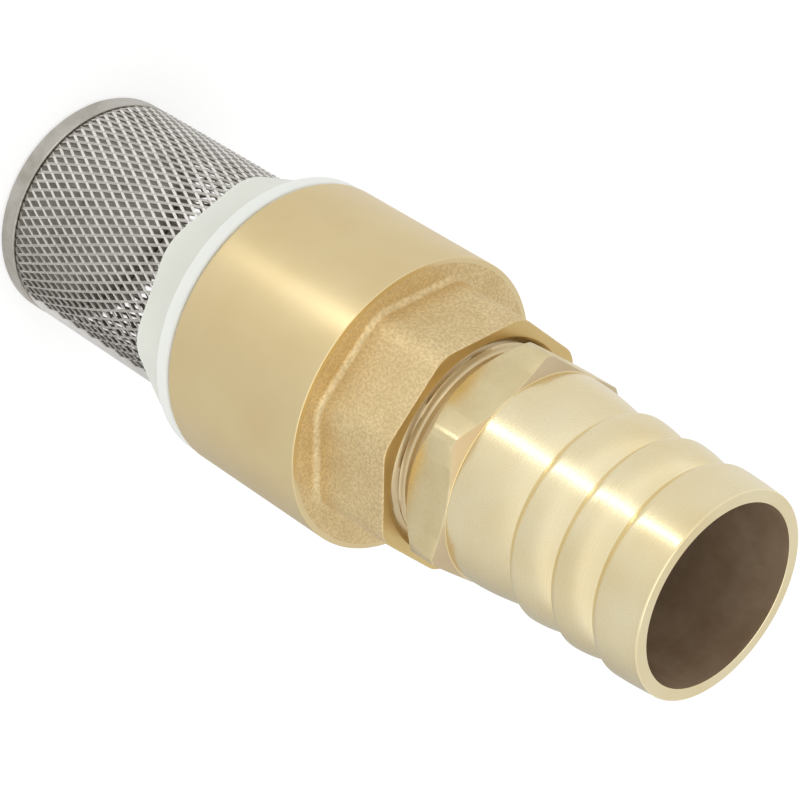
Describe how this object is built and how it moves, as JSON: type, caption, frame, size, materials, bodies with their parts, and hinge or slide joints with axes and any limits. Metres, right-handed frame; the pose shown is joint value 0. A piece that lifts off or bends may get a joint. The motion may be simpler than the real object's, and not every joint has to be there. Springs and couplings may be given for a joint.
{
  "type": "foot valve",
  "caption": "Brass suction foot valve: octagonal check valve body, white strainer holder, expanded-metal strainer basket and barbed hose tail.",
  "frame": {"origin": "centre of the strainer cap's closed end, on the surface that the upright valve stands on", "axes": "+Z along the flow axis, from the strainer to the hose tail's mouth; +X normal to one flat of the body's octagon; +Y completes the right-handed set"},
  "size_m": [0.0684, 0.0684, 0.1974],
  "materials": {
    "stainless": "pressed and turned stainless steel, satin",
    "strainer_steel": "expanded stainless sheet, bright strands",
    "white_nylon": "moulded natural white nylon, slightly milky",
    "black_rubber": "moulded nitrile rubber",
    "turned_brass": "turned brass, satin",
    "cast_brass": "cast brass with a turned barrel, satin",
    "tail_brass": "finely turned pale brass, bright",
    "spring_steel": "drawn stainless spring wire",
    "acetal": "natural acetal",
    "fibre": "red vulcanised fibre"
  },
  "bodies": {
    "housing": {"valve_body": "cast_brass", "strainer_holder": "white_nylon", "strainer_mesh": "strainer_steel", "strainer_end_cap": "stainless", "holder_o_ring": "black_rubber", "seat_ring": "turned_brass", "seat_o_ring": "black_rubber", "stem_guide": "cast_brass", "guide_bush": "acetal", "return_spring": "spring_steel", "tail_gasket": "fibre", "hose_tail": "tail_brass"},
    "poppet": {"poppet_disc": "turned_brass", "poppet_stem": "stainless", "disc_seal": "black_rubber", "seal_retainer": "stainless", "retainer_nut": "stainless"}
  },
  "joints": [
    {"name": "poppet_lift", "type": "slide", "parent": "housing", "child": "poppet", "axis": [0, 0, 1], "range_m": [0, 0.009], "stiffness_N_per_m": 300, "springref_m": -0.008, "deforming": ["return_spring"]}
  ]
}
